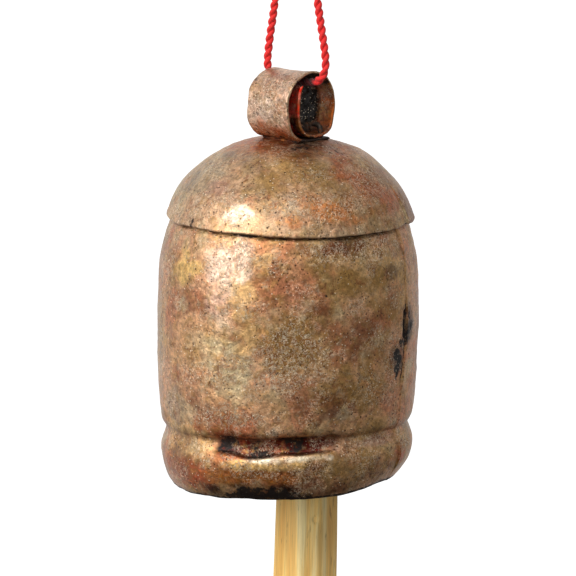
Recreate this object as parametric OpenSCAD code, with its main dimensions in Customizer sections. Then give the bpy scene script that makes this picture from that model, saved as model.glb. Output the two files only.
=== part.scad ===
// Small hanging bell of rolled and hammered sheet metal with a wooden clapper.
// +Z is up and the origin is the point where the cord's two strands meet on their hook.
// X runs along the strap barrel. All sizes are millimetres.

/* [Shell] */
// Widest outside diameter of the shell
body_d = 78.2; // [76:0.2:80]
// Outside diameter at the bottom of the hammered groove
groove_d = 71.8; // [71:0.2:73]
// Outside diameter of the bulged lip
lip_d = 75.2; // [74:0.2:76]
// Outside diameter at the rolled-in mouth edge
mouth_d = 67; // [66:0.2:68]
// Height from the mouth edge to the cap's rim
body_h = 80; // [78:1:82]
// Sheet thickness of the shell
shell_t = 1; // [0.8:0.1:1.2]

/* [Cap] */
// Outside diameter of the cap's rim
cap_d = 73.6; // [73:0.2:75]
// Height of the cap above its rim
cap_h = 23; // [22:0.5:24]
// Sheet thickness of the cap
cap_t = 1; // [0.8:0.1:1.1]

/* [Lap seam] */
// Direction of the lapped edge, measured from +X
lap_angle = 19; // [0:1:40]
// Angle that the outer sheet covers
lap_sweep = 16; // [10:1:20]
// How far the outer sheet stands out
lap_step = 0.8; // [0.4:0.1:1]

/* [Hanging strap] */
// Outside diameter of the curled strap barrel
strap_d = 21.2; // [20.8:0.2:21.6]
// Length of the barrel along X
strap_l = 17; // [16.8:0.2:17.4]
// Thickness of the strap
strap_t = 1; // [0.8:0.1:1.1]

/* [Clapper] */
// Diameter of the clapper where it leaves the mouth
clapper_d = 18.6; // [17:0.2:19]
// Length of the wooden clapper
clapper_l = 100; // [96:1:110]
// Diameter of the staple and link wire
wire_d = 1.6; // [1.4:0.1:1.6]

/* [Cord] */
// Diameter of the cord
cord_d = 2.5; // [2.2:0.1:2.8]

/* [Hidden] */
$fn = 96;

// Levels along Z
strap_top_z = -63.8;
cap_top_z = strap_top_z - strap_d;
rim_z = cap_top_z - cap_h;
mouth_z = rim_z - body_h;
barrel_z = strap_top_z - strap_d / 2;

// Neck of the shell inside the cap
neck_top_r = cap_d / 2 - 3.5;
neck_rise = 5;
braze_t = 2;

// Foot of the strap: it lies flat on the cap, and runs out past the barrel on the +Y side as a lip
foot_half = 3.6;
foot_lip = 8;

// Inner end of the strap, curled up inside the barrel, as [y, z] from the barrel's middle
curl_gap = 0.3;
curl = [[1, -10.1], [-1.4, -9], [-3.4, -6.6], [-4.8, -3.2], [-5.2, 0.6], [-4.7, 4.4]];

// Filler metal: a hollow fillet along the foot on the -Y side, a round bead along the lip on the +Y side
fillet_half = 7.5;
fillet_l = strap_l - 1.6;
fillet_r = 4.5;
fillet_below = 2.5;
fillet_above = 3;
fillet_y = -9.7;
bead_r = 1.6;
bead_y = foot_lip + 0.2;

// Staple: a U in the XZ plane, its legs through the cap and the strap's floor
staple_pos = [4.2, 5.5];
staple_half = 2.7;
staple_eye_z = cap_top_z - 20;
staple_bend_r = 2;
clench_bend_r = 1.6;
clench_z = cap_top_z + 4.4;
clench_long = 3.9;
clench_short = 1.6;
staple_hole_d = wire_d + 0.2;
staple_hole_half = 6;

// Link: a wire ring in the YZ plane, round at the top, that hangs in the staple's eye
wire_gap = 0.2;
link_top_r = 10.2;
link_low_r = 2.2;
link_top_z = staple_eye_z + wire_d + wire_gap - link_top_r;
link_bar_z = staple_eye_z - 38;
link_corner_z = link_bar_z + link_low_r;
link_corner_y = link_top_r - link_low_r;

// Clapper: a round stick, narrower at its drilled top
clapper_top_z = link_bar_z + 7;
clapper_low_z = clapper_top_z - clapper_l;
clapper_neck_r = 7.4;
clapper_foot_r = clapper_d / 2 + 0.5;
clapper_hole_d = wire_d + 0.4;

// Knot on the cord
knot_r = 4.5;
knot_z = 5.2;
tail_l = 9;
tail_tilt = 38;

// Cord: from the knot down the near strand, through the barrel and up the far strand
cord_sides = 8;
cord_route = [
    [1.5, 0, 3], [1.6, 0, 0], [2.6, 0, -5], [3.6, 0, -10], [4.6, 0, -15], [5.6, 0, -20], [6.6, 0, -25],
    [7.6, 0, -30], [8.6, 0, -35], [9.6, 0, -40], [10.7, 0, -45], [11.9, 0, -50], [13.1, 0, -55],
    [13.9, 0, -59], [14, 0, -61.2], [13.6, 0, -63.2], [12.6, 0, -64.9], [11, 0, -66.2], [9, 0, -66.9],
    [6, 0, -67.1], [3, 0, -67.3], [0, 0, -67.7], [-3, 0, -68.2], [-5.6, 0, -68.3], [-8, 0, -67.6],
    [-9.7, 0, -65.9], [-10.4, 0, -63.7], [-10.4, 0, -61.2], [-9.6, 0, -55], [-8.7, 0, -50], [-7.9, 0, -45],
    [-7.2, 0, -40], [-6.5, 0, -35], [-5.8, 0, -30], [-5.1, 0, -25], [-4.4, 0, -20], [-3.7, 0, -15],
    [-3, 0, -10], [-2.3, 0, -5], [-1.5, 0, 0], [-1.5, 0, 3]
];

// A smooth curve through a list of points, steps pieces between each two
function curve_point(a, b, c, d, t) =
    0.5 * (2 * b + (c - a) * t + (2 * a - 5 * b + 4 * c - d) * t * t + (3 * b - a - 3 * c + d) * t * t * t);
function curve(p, steps) = [
    for (i = [0 : len(p) - 2])
        for (k = [0 : steps - 1])
            curve_point(p[max(i - 1, 0)], p[i], p[i + 1], p[min(i + 2, len(p) - 1)], k / steps),
    p[len(p) - 1]
];

// The same outline moved sideways by a distance; positive is to the left of its direction
function side(v) = [-v[1], v[0]] / norm(v);
function moved(p, distance) = [
    for (i = [0 : len(p) - 1])
        p[i] + distance * side(p[min(i + 1, len(p) - 1)] - p[max(i - 1, 0)])
];
function reversed(p) = [for (i = [len(p) - 1 : -1 : 0]) p[i]];
function band(p, near, far) = concat(moved(p, near), reversed(moved(p, far)));
function part_of(p, first, last) = [for (i = [first : last]) p[i]];

// Outside of the shell from the neck down to the mouth edge, as [radius, z]
shell_outside = curve([
    [neck_top_r, rim_z + neck_rise],
    [cap_d / 2 - 2.2, rim_z + 1],
    [cap_d / 2 - 1, rim_z - 2.5],
    [body_d / 2 - 0.8, rim_z - 12],
    [body_d / 2, rim_z - 27],
    [body_d / 2 - 0.3, rim_z - 44],
    [body_d / 2 - 1.5, mouth_z + 21],
    [groove_d / 2, mouth_z + 17],
    [lip_d / 2, mouth_z + 11.6],
    [lip_d / 2 - 0.8, mouth_z + 6.5],
    [lip_d / 2 - 2.5, mouth_z + 2.3],
    [mouth_d / 2, mouth_z]
], 4);

// Outside of the cap from its top to its rim, as [radius, z]
cap_outside = curve([
    [6, cap_top_z],
    [12.5, cap_top_z - 0.9],
    [cap_d * 0.292, cap_top_z - cap_h * 0.19],
    [cap_d * 0.402, cap_top_z - cap_h * 0.42],
    [cap_d * 0.458, rim_z + cap_h * 0.34],
    [cap_d / 2, rim_z]
], 4);

// Rings of a swept tube: each ring is square to the route at its point
function route_dir(p, i) = let (v = p[min(i + 1, len(p) - 1)] - p[max(i - 1, 0)]) v / norm(v);
function ring(p, i, r, sides) =
    let (dir = route_dir(p, i), across = [0, 1, 0], up = cross(dir, across))
    [for (k = [0 : sides - 1]) p[i] + r * (cos(360 * k / sides) * across + sin(360 * k / sides) * up)];

module tube(route, r, sides) {
    last = (len(route) - 1) * sides;
    points = [for (i = [0 : len(route) - 1]) each ring(route, i, r, sides)];
    walls = [
        for (i = [0 : len(route) - 2])
            for (k = [0 : sides - 1])
                let (a = i * sides + k, b = i * sides + (k + 1) % sides)
                [a, b, b + sides, a + sides]
    ];
    ends = [[for (k = [sides - 1 : -1 : 0]) k], [for (k = [0 : sides - 1]) last + k]];
    polyhedron(points = points, faces = concat(walls, ends));
}

// Round wire: a straight piece upwards, and a bend that turns in the XY plane about the origin
module rod(length) {
    cylinder(d = wire_d, h = length, $fn = 32);
}

module wire_arc(bend_r, angle) {
    rotate_extrude(angle = angle) translate([bend_r, 0]) circle(d = wire_d, $fn = 32);
}

module staple_holes() {
    for (side = [-1, 1])
        translate([staple_pos[0] + side * staple_half, staple_pos[1], cap_top_z])
            cylinder(d = staple_hole_d, h = 2 * staple_hole_half, center = true, $fn = 32);
}

// A cylinder along X, centred on x = 0
module along_x(y, z, r, length) {
    translate([0, y, z]) rotate([0, 90, 0]) cylinder(r = r, h = length, center = true);
}

module cap_solid() {
    rotate_extrude() polygon(concat([[0, cap_top_z], [0, rim_z]], reversed(cap_outside)));
}

module body_shell() {
    seam = part_of(shell_outside, 12, len(shell_outside) - 1);
    color("peru") {
        rotate_extrude() polygon(band(shell_outside, 0, -shell_t));
        rotate([0, 0, lap_angle]) rotate_extrude(angle = lap_sweep)
            polygon(band(seam, lap_step, -shell_t / 2));
    }
}

module dome_cap() {
    inside = moved(cap_outside, -cap_t);
    edge = part_of(cap_outside, 8, len(cap_outside) - 1);
    color("darkkhaki") difference() {
        union() {
            rotate_extrude()
                polygon(concat([[0, cap_top_z]], cap_outside, reversed(inside), [[0, cap_top_z - cap_t]]));
            rotate([0, 0, lap_angle]) rotate_extrude(angle = lap_sweep)
                polygon(band(edge, lap_step, -cap_t / 2));
        }
        staple_holes();
    }
}

module cap_braze() {
    under_cap = reversed(moved(cap_outside, -cap_t));
    color("goldenrod") difference() {
        rotate_extrude() polygon(band(part_of(shell_outside, 0, 2), 0, braze_t));
        difference() {
            translate([0, 0, rim_z]) cylinder(r = cap_d, h = cap_h);
            rotate_extrude() polygon(concat([[0, cap_top_z - cap_t], [0, rim_z - braze_t]], under_cap));
        }
    }
}

module strap_foot() {
    translate([-strap_l / 2, -foot_half, cap_top_z]) cube([strap_l, foot_half + foot_lip, strap_t]);
}

module hanging_strap() {
    color("burlywood") difference() {
        union() {
            difference() {
                union() {
                    along_x(0, barrel_z, strap_d / 2, strap_l);
                    strap_foot();
                }
                along_x(0, barrel_z, strap_d / 2 - strap_t, 2 * strap_l);
            }
            translate([-strap_l / 2 + curl_gap, 0, barrel_z]) rotate([90, 0, 90])
                linear_extrude(strap_l - 2 * curl_gap)
                    polygon(band(curve(curl, 4), strap_t / 2, -strap_t / 2));
        }
        staple_holes();
    }
}

module strap_braze() {
    color("saddlebrown") {
        difference() {
            translate([-fillet_l / 2, -fillet_half, cap_top_z - fillet_below])
                cube([fillet_l, fillet_half - foot_half, 2 * fillet_below]);
            along_x(0, barrel_z, strap_d / 2, 2 * strap_l);
            along_x(fillet_y, cap_top_z + fillet_above, fillet_r, 2 * strap_l);
            cap_solid();
        }
        difference() {
            along_x(bead_y, cap_top_z, bead_r, fillet_l);
            strap_foot();
            cap_solid();
        }
    }
}

module clapper_staple() {
    leg_low_z = staple_eye_z + staple_bend_r;
    leg_top_z = clench_z - clench_bend_r;
    bar_half = staple_half - staple_bend_r;
    color("dimgray") translate([staple_pos[0], staple_pos[1], 0]) {
        translate([-bar_half, 0, staple_eye_z]) rotate([0, 90, 0]) rod(2 * bar_half);
        for (side = [-1, 1]) {
            translate([side * bar_half, 0, leg_low_z])
                rotate([90, 0, 0]) rotate([0, 0, side > 0 ? -90 : 180]) wire_arc(staple_bend_r, 90);
            translate([side * staple_half, 0, leg_low_z]) rod(leg_top_z - leg_low_z);
            translate([side * staple_half - clench_bend_r, 0, leg_top_z])
                rotate([90, 0, 0]) wire_arc(clench_bend_r, 90);
            translate([side * staple_half - clench_bend_r, 0, clench_z])
                rotate([0, -90, 0]) rod(side > 0 ? clench_short : clench_long);
        }
    }
}

module clapper_link() {
    color("gray") translate([staple_pos[0], staple_pos[1], 0]) {
        translate([0, 0, link_top_z]) rotate([90, 0, 90]) wire_arc(link_top_r, 180);
        for (turn = [0, 180])
            rotate([0, 0, turn]) {
                translate([0, link_top_r, link_corner_z]) rod(link_top_z - link_corner_z);
                translate([0, link_corner_y, link_corner_z])
                    rotate([90, 0, 90]) rotate([0, 0, -90]) wire_arc(link_low_r, 90);
            }
        translate([0, -link_corner_y, link_bar_z]) rotate([-90, 0, 0]) rod(2 * link_corner_y);
    }
}

module clapper() {
    outline = curve([
        [clapper_neck_r - 1.6, clapper_top_z],
        [clapper_neck_r - 0.4, clapper_top_z - 1.2],
        [clapper_neck_r, clapper_top_z - 4],
        [clapper_neck_r + 0.2, clapper_top_z - 14],
        [clapper_d / 2, mouth_z],
        [clapper_foot_r, clapper_low_z + 10],
        [clapper_foot_r - 0.2, clapper_low_z + 3],
        [clapper_foot_r - 2.4, clapper_low_z]
    ], 3);
    color("tan") translate([staple_pos[0], staple_pos[1], 0]) difference() {
        rotate_extrude() polygon(concat([[0, clapper_top_z]], outline, [[0, clapper_low_z]]));
        translate([0, 0, link_bar_z]) rotate([90, 0, 0])
            cylinder(d = clapper_hole_d, h = 2 * clapper_d, center = true);
    }
}

module hanging_cord() {
    color("red") tube(cord_route, cord_d / 2, cord_sides);
}

module cord_knot() {
    color("firebrick") translate([0, 0, knot_z]) {
        sphere(r = knot_r);
        for (side = [-1, 1])
            rotate([0, side * tail_tilt, 0]) translate([0, 0, knot_r - 1]) {
                cylinder(d = cord_d, h = tail_l, $fn = 32);
                translate([0, 0, tail_l]) sphere(d = cord_d, $fn = 32);
            }
    }
}

body_shell();
dome_cap();
cap_braze();
hanging_strap();
strap_braze();
clapper_staple();
clapper_link();
clapper();
hanging_cord();
cord_knot();
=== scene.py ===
"""Looks for a small hand-made hanging bell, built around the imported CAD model.

Lengths inside the mesh functions are millimetres in the row frame; meshes are made in metres.
"""

import itertools
import math

import bmesh
import bpy
import numpy as np
from mathutils import Matrix, Vector


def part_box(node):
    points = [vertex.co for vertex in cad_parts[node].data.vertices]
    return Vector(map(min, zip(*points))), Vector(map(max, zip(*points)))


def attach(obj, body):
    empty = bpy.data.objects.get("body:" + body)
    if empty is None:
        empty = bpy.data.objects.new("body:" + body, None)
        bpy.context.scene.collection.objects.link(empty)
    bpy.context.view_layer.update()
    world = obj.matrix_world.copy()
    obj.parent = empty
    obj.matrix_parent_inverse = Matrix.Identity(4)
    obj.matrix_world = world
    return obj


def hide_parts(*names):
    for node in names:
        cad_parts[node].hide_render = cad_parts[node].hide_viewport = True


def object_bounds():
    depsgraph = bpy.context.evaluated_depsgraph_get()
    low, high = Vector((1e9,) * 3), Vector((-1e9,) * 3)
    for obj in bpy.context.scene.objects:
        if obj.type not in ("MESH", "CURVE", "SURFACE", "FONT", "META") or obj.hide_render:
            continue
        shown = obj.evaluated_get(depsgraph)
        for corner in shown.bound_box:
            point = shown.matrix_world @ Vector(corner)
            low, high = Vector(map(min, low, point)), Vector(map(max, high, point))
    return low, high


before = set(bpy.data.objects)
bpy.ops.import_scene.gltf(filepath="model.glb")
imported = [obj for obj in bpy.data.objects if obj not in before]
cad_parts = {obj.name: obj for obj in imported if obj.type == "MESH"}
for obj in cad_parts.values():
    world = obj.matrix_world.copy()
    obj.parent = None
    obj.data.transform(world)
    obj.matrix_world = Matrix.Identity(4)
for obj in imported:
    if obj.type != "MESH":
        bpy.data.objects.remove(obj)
cad_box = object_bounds()

MM = 0.001

# ---------------------------------------------------------------- camera

CAMERA_AZIMUTH = 45
CAMERA_ELEVATION = 10.4
CAMERA_ROLL = 1.08
CAMERA_DISTANCE = 2.0
CAMERA_TARGET = Vector((0, 0, -0.1304))
FRAME_WIDTH = 0.1728
SENSOR = 36


def direction(azimuth, elevation):
    """Unit vector from the bell towards azimuth and elevation; azimuth 0 is -Y and 90 is +X."""
    a, e = math.radians(azimuth), math.radians(elevation)
    return Vector((math.sin(a) * math.cos(e), -math.cos(a) * math.cos(e), math.sin(e)))


def make_camera():
    """A long lens on the bell, from the camera's azimuth and elevation; lengths in metres."""
    data = bpy.data.cameras.new("camera")
    data.sensor_width = SENSOR
    data.lens = SENSOR * CAMERA_DISTANCE / FRAME_WIDTH
    data.clip_start = 0.1
    data.clip_end = 100
    camera = bpy.data.objects.new("camera", data)
    bpy.context.scene.collection.objects.link(camera)
    back = direction(CAMERA_AZIMUTH, CAMERA_ELEVATION)
    camera.location = CAMERA_TARGET + back * CAMERA_DISTANCE
    aim = (-back).to_track_quat("-Z", "Y").to_matrix().to_4x4()
    roll = Matrix.Rotation(math.radians(CAMERA_ROLL), 4, "Z")
    camera.rotation_euler = (aim @ roll).to_euler()
    bpy.context.scene.camera = camera


make_camera()
bpy.context.scene.view_settings.view_transform = "Standard"

# ---------------------------------------------------------------- numbers


def smooth(x, low, high):
    """0 below low, 1 above high, smooth between."""
    t = np.clip((x - low) / (high - low), 0, 1)
    return t * t * (3 - 2 * t)


def bump_at(x, middle, width):
    """1 at middle, falling off over width."""
    return np.exp(-(((x - middle) / width) ** 2))


def between(x, low, full, fade, high):
    """1 from full to fade, and 0 below low and above high."""
    return smooth(x, low, full) * (1 - smooth(x, fade, high))


def turn_from(azimuth, middle):
    """Signed degrees from middle to azimuth."""
    return (azimuth - middle + 180) % 360 - 180


def facing(azimuth, middle, width):
    """1 at an azimuth, falling off over width degrees to either side."""
    return bump_at(turn_from(azimuth, middle), 0, width)


def noise(points, size, seed):
    """Smooth noise from -1 to 1 with features about size mm wide."""
    table = np.random.default_rng(seed).random((32, 32, 32))
    cell = points / size
    low = np.floor(cell).astype(int)
    t = cell - low
    t = t * t * (3 - 2 * t)
    total = np.zeros(points.shape[:-1])
    for corner in itertools.product((0, 1), repeat=3):
        weight = np.prod(np.where(corner, t, 1 - t), axis=-1)
        at = (low + corner) % 32
        total += weight * table[at[..., 0], at[..., 1], at[..., 2]]
    return 2 * total - 1


def layered(points, size, seed, layers=3):
    """Noise with finer layers added, each half the size and half the height."""
    return sum(noise(points, size / 2**k, seed + k) / 2**k for k in range(layers))


def blows(points, size, seed):
    """Squared distance to the nearest hammer blow: 0 at its middle, about 0.5 on the ridges between."""
    jitter = np.random.default_rng(seed).random((16, 16, 16, 3))
    cell = points / size
    low = np.floor(cell).astype(int)
    nearest = np.full(points.shape[:-1], 9.0)
    for corner in itertools.product((-1, 0, 1), repeat=3):
        at = low + np.array(corner)
        seat = at + jitter[at[..., 0] % 16, at[..., 1] % 16, at[..., 2] % 16]
        nearest = np.minimum(nearest, ((cell - seat) ** 2).sum(-1))
    return nearest


def curve(controls, steps=24):
    """Catmull-Rom curve through the controls, as CAD draws the same outlines."""
    p = np.array(controls, float)
    p = np.vstack([p[:1], p, p[-1:]])
    out = []
    for i in range(len(p) - 3):
        a, b, c, d = p[i : i + 4]
        for t in np.arange(steps) / steps:
            bow = (2 * a - 5 * b + 4 * c - d) * t**2 + (3 * b - a - 3 * c + d) * t**3
            out.append(0.5 * (2 * b + (c - a) * t + bow))
    out.append(p[-1])
    return np.array(out)


def travelled(points):
    """How far along a line each of its points is."""
    return np.concatenate([[0], np.cumsum(np.linalg.norm(np.diff(points, axis=0), axis=1))])


def evenly(points, count):
    """The same line with count points, evenly spaced along it."""
    along = travelled(points)
    at = np.linspace(0, along[-1], count)
    return np.stack([np.interp(at, along, points[:, k]) for k in range(points.shape[1])], -1)


# ---------------------------------------------------------------- meshes


def make_mesh(name, points, faces, tone=None, **amounts):
    """A smooth-shaded object from points in mm, with its tone and other amounts as attributes."""
    mesh = bpy.data.meshes.new(name)
    mesh.from_pydata((np.asarray(points) * MM).tolist(), [], faces)
    solid = bmesh.new()
    solid.from_mesh(mesh)
    bmesh.ops.recalc_face_normals(solid, faces=solid.faces)
    solid.to_mesh(mesh)
    solid.free()
    mesh.polygons.foreach_set("use_smooth", np.ones(len(mesh.polygons), bool))
    if tone is not None:
        colours = np.ones((len(mesh.vertices), 4), np.float32)
        colours[:, :3] = np.asarray(tone).reshape(-1, 3)
        mesh.attributes.new("tone", "FLOAT_COLOR", "POINT").data.foreach_set("color", colours.ravel())
    for key, amount in amounts.items():
        values = np.asarray(amount, np.float32).ravel()
        mesh.attributes.new(key, "FLOAT", "POINT").data.foreach_set("value", values)
    obj = bpy.data.objects.new(name, mesh)
    bpy.context.scene.collection.objects.link(obj)
    return obj


def fan(middle, first, count, flip=False):
    """Triangles from a middle point to a closed ring of count points that starts at first."""
    ring = [(first + k, first + (k + 1) % count) for k in range(count)]
    return [(middle, b, a) if flip else (middle, a, b) for a, b in ring]


def grid_faces(rows, columns, wrap_rows=False, offset=0):
    """Quads of a grid whose columns close on themselves, and whose rows do if wrap_rows."""
    faces = []
    for i in range(rows if wrap_rows else rows - 1):
        a, b = i * columns + offset, (i + 1) % rows * columns + offset
        for k in range(columns):
            n = (k + 1) % columns
            faces.append((a + k, b + k, b + n, a + n))
    return faces


def ring_ends(rows, count, start=0):
    """Faces that close both ends of a tube made of rings."""
    last = start + (rows - 1) * count
    return [tuple(range(start, start + count)), tuple(range(last + count - 1, last - 1, -1))]


def outward(outline):
    """Outward side of an outline of (radius, z) that runs downwards."""
    d = np.gradient(outline, axis=0)
    side = np.stack([-d[:, 1], d[:, 0]], -1)
    return side / np.linalg.norm(side, axis=1, keepdims=True)


def sheet_rows(outline, thickness, inner_rows):
    """Rows of a sheet that follows an outline: its outside, a rounded lower edge and its inside.
    Returns (radius, z) of each row, its outward side, and the row of the outside it lies behind."""
    side = outward(outline)
    last = len(outline) - 1
    down = np.array([side[-1, 1], -side[-1, 0]])
    middle = outline[-1] - side[-1] * thickness / 2
    edge = [
        middle + thickness / 2 * (side[-1] * math.cos(a) + down * math.sin(a))
        for a in np.radians([30, 60, 90, 120, 150])
    ]
    back = np.round(np.linspace(last, 0, inner_rows)).astype(int)
    inside = outline[back] - side[back] * thickness
    rows = np.vstack([outline, edge, inside])
    sides = np.vstack([side, np.repeat(side[-1:], len(edge), 0), side[back]])
    source = np.concatenate([np.arange(last + 1), np.full(len(edge), last), back])
    return rows, sides, source


def around(step, lap, fine):
    """Azimuths in degrees for one turn, closer together near the lapped edge."""
    reach = 12
    coarse = np.arange(0, 360, step)
    coarse = coarse[np.abs(turn_from(coarse, lap)) > fine * reach]
    near = lap + fine * np.arange(-reach, reach + 1)
    return np.sort(np.concatenate([coarse, near % 360]))


def turned(rows, azimuth):
    """Points of each row at each azimuth."""
    a = np.radians(azimuth)
    radius, z = rows[:, 0:1], rows[:, 1:2]
    return np.stack([radius * np.cos(a), radius * np.sin(a), z + 0 * a], -1)


def tube_mesh(path, radius, sides, phase, start=0):
    """Rings of a tube along path, each square to it; radius and phase are one value per point."""
    path = np.asarray(path, float)
    along = np.gradient(path, axis=0)
    along /= np.linalg.norm(along, axis=1, keepdims=True)
    across = np.zeros_like(path)
    last = np.array([0, 1, 0]) if abs(along[0, 1]) < 0.9 else np.array([1, 0, 0])
    for i, d in enumerate(along):
        last = last - d * (last @ d)
        last = last / np.linalg.norm(last)
        across[i] = last
    up = np.cross(along, across)
    a = 2 * np.pi * np.arange(sides) / sides + np.asarray(phase)[:, None]
    ring = np.cos(a)[..., None] * across[:, None] + np.sin(a)[..., None] * up[:, None]
    points = path[:, None] + np.asarray(radius)[:, None, None] * ring
    faces = grid_faces(len(path), sides, offset=start) + ring_ends(len(path), sides, start)
    return points.reshape(-1, 3), faces, across, up


# ---------------------------------------------------------------- colours


def rgb(r, g, b):
    """Screen colour from 0 to 255 as a linear colour."""
    parts = (c / 255 for c in (r, g, b))
    return (*(c / 12.92 if c < 0.0404 else ((c + 0.055) / 1.055) ** 2.4 for c in parts), 1)


COPPER = rgb(204, 154, 116)
COPPER_RED = rgb(190, 122, 86)
BRASS = rgb(198, 158, 106)
OLIVE = rgb(158, 120, 66)
GREY_GREEN = rgb(194, 174, 134)
GREY = rgb(150, 134, 114)
PINK = rgb(230, 198, 174)
PINK_GREY = rgb(192, 150, 126)
TAN = rgb(184, 158, 126)
BROWN = rgb(128, 74, 44)
RUST = rgb(156, 80, 42)
BURNT = rgb(172, 90, 36)
ORANGE = rgb(198, 122, 62)
AMBER = rgb(176, 104, 42)
GOLD = rgb(232, 186, 114)
YELLOW = rgb(226, 184, 116)
RED = rgb(184, 66, 38)
DEEP_RED = rgb(84, 18, 8)
BLOOD = rgb(244, 44, 16)
CREAM = rgb(250, 234, 204)
PITS_AND_SHADE = rgb(54, 32, 20)
BLACK = rgb(18, 9, 5)


def lay(tone, colour, amount):
    """The tone with a colour brushed over it."""
    return tone + (np.array(colour[:3]) - tone) * np.clip(amount, 0, 1)[..., None]


def base_tone(points, seed):
    """Mottled copper and brass, with olive, brown, red and grey-green clouds."""
    tone = np.zeros(points.shape) + np.array(COPPER[:3])
    tone = lay(tone, BRASS, smooth(layered(points, 20, seed), -0.45, 0.45))
    tone = lay(tone, OLIVE, 0.8 * smooth(layered(points, 12, seed + 3, 4), 0.1, 0.8))
    tone = lay(tone, BROWN, 0.7 * smooth(layered(points, 10, seed + 7, 4), 0.2, 0.9))
    tone = lay(tone, COPPER_RED, 0.7 * smooth(layered(points, 8, seed + 11, 4), 0.2, 0.8))
    return lay(tone, GREY_GREEN, 0.5 * smooth(layered(points, 6, seed + 15, 4), 0.3, 0.9))


def patch(points, azimuth, level, wide, tall, ragged):
    """A cloud with ragged edges: its azimuth, its level over the cap's rim, and half its width and height."""
    at = np.degrees(np.arctan2(points[..., 1], points[..., 0]))
    far = (turn_from(at, azimuth) / wide) ** 2 + ((points[..., 2] - rim - level) / tall) ** 2
    return smooth(1.2 - far + ragged, 0, 1.1)


def paint(tone, points, patches, seed):
    """The tone with every patch of a list laid over it in turn."""
    ragged = [0.9 * layered(points, 5, seed + k, 4) for k in range(3)]
    for number, (colour, azimuth, level, wide, tall, strength) in enumerate(patches):
        cloud = patch(points, azimuth, level, wide, tall, ragged[number % 3])
        tone = lay(tone, colour, strength * cloud)
    return tone


# ---------------------------------------------------------------- shell

# Azimuths of the lapped edges of the shell and the cap, and the thickness of all sheets
LAP = 19
CAP_LAP = 27
SHEET = 1.0
NECK_HEIGHT = 5
SHELL_HEIGHT = 80

cap_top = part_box("dome_cap")[1].z / MM
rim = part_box("body_shell")[1].z / MM - NECK_HEIGHT
mouth = rim - SHELL_HEIGHT

# Patches: colour, azimuth (degrees), height above the cap's rim (mm), half width and half height, strength
SHELL_PATCHES = [
    (YELLOW, -100, -12.3, 9, 5.2, 1),
    (YELLOW, -89, -11.6, 6, 2.3, 0.8),
    # painted highlight: pink where the key light's highlight falls, at the top and down the left of the front
    (PINK, -72, -8.4, 13, 8, 0.8),
    (PINK, -76, -20, 7, 12, 0.5),
    (COPPER_RED, -106, -26, 7, 7, 0.7),
    (GREY_GREEN, -71, -38, 13, 10, 0.85),
    (GREY_GREEN, -84, -34, 13, 4, 0.4),
    (COPPER_RED, -89, -44, 10, 3, 0.5),
    (OLIVE, -43, -32.6, 14, 10, 0.9),
    (COPPER_RED, -44, -14.4, 13, 5.5, 0.8),
    (COPPER_RED, -57, -20.6, 7, 6, 0.5),
    (BROWN, -32, -22.5, 7, 2.4, 0.8),
    (OLIVE, -10, -14, 15, 5, 0.8),
    (OLIVE, -31, -8.7, 7, 3.7, 0.6),
    (BROWN, -19, -3.6, 13, 3.1, 1),
    (BROWN, -40, -4.2, 7, 2.4, 0.5),
    (BROWN, -15, -29, 12, 8, 0.6),
    (COPPER_RED, -23, -33, 6, 9, 0.7),
    (OLIVE, -5, -46.6, 14, 9, 0.8),
    (GREY, -20, -54.8, 8, 3.7, 0.6),
    (BROWN, -30, -51.3, 10, 5.5, 0.7),
    (GREY, -105, -53, 9, 8, 0.5),
    (YELLOW, -109, -63, 9, 5, 0.4),
    (RUST, -70, -58.5, 23, 5, 0.9),
    (RUST, -79, -70.7, 28, 6.7, 0.7),
    (RED, -100, -74, 20, 5, 0.5),
    (BROWN, -104, -70, 16, 8, 0.6),
    (OLIVE, -13, -70.6, 18, 5.5, 0.7),
    # painted highlight: a pale line along the top of the ledge on the right
    (PINK_GREY, -4, -64.6, 21, 1.7, 0.8),
    # painted shade: deep red and rust in the groove over the ledge, where its wall faces down
    (DEEP_RED, -50, -63.4, 26, 2.6, 1),
    (RUST, -70, -65, 10, 2.6, 0.9),
    (DEEP_RED, -52, -65.3, 24, 1.4, 1),
    (DEEP_RED, -23, -62.4, 9, 1.8, 0.7),
    (GREY, -50, -59.2, 2, 3.4, 0.8),
    (AMBER, -57, -73, 28, 3.6, 1),
    (BURNT, -66, -71.4, 10, 2, 0.7),
    # painted shade: dark brown on the lip's underside in front
    (PITS_AND_SHADE, -56, -77.8, 27, 3.4, 0.95),
    # painted highlight: gold and cream along the top of the ledge, which faces up
    (GOLD, -52, -68.8, 24, 2, 1),
    (CREAM, -50, -67.3, 22, 1.2, 0.95),
    (RED, 17, -72.3, 7, 5.2, 0.7),
    # painted shade: brown down the right side of the body, away from the key light
    (BROWN, 46, -32, 16, 34, 0.6),
    (GREY, -130, -32, 12, 34, 0.5),
    (RED, 15, -48.4, 4, 3.1, 0.6),
    (GREY, 31, -63.5, 11, 4.3, 0.6),
    (GREY, 13, -7, 8, 2.8, 0.8),
    (PITS_AND_SHADE, -20, -3.3, 9, 2.4, 0.6),
    (PITS_AND_SHADE, 8, -12.7, 5, 2.4, 0.6),
    (PITS_AND_SHADE, 20, -30, 6, 8, 0.9),
    (PITS_AND_SHADE, 14, -38, 6, 6, 0.9),
    (OLIVE, 120, -22, 30, 14, 0.7),
    (RUST, 170, -42, 22, 12, 0.6),
    (YELLOW, -150, -20, 14, 8, 0.6),
    (BROWN, 80, -42, 20, 10, 0.7),
]
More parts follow.
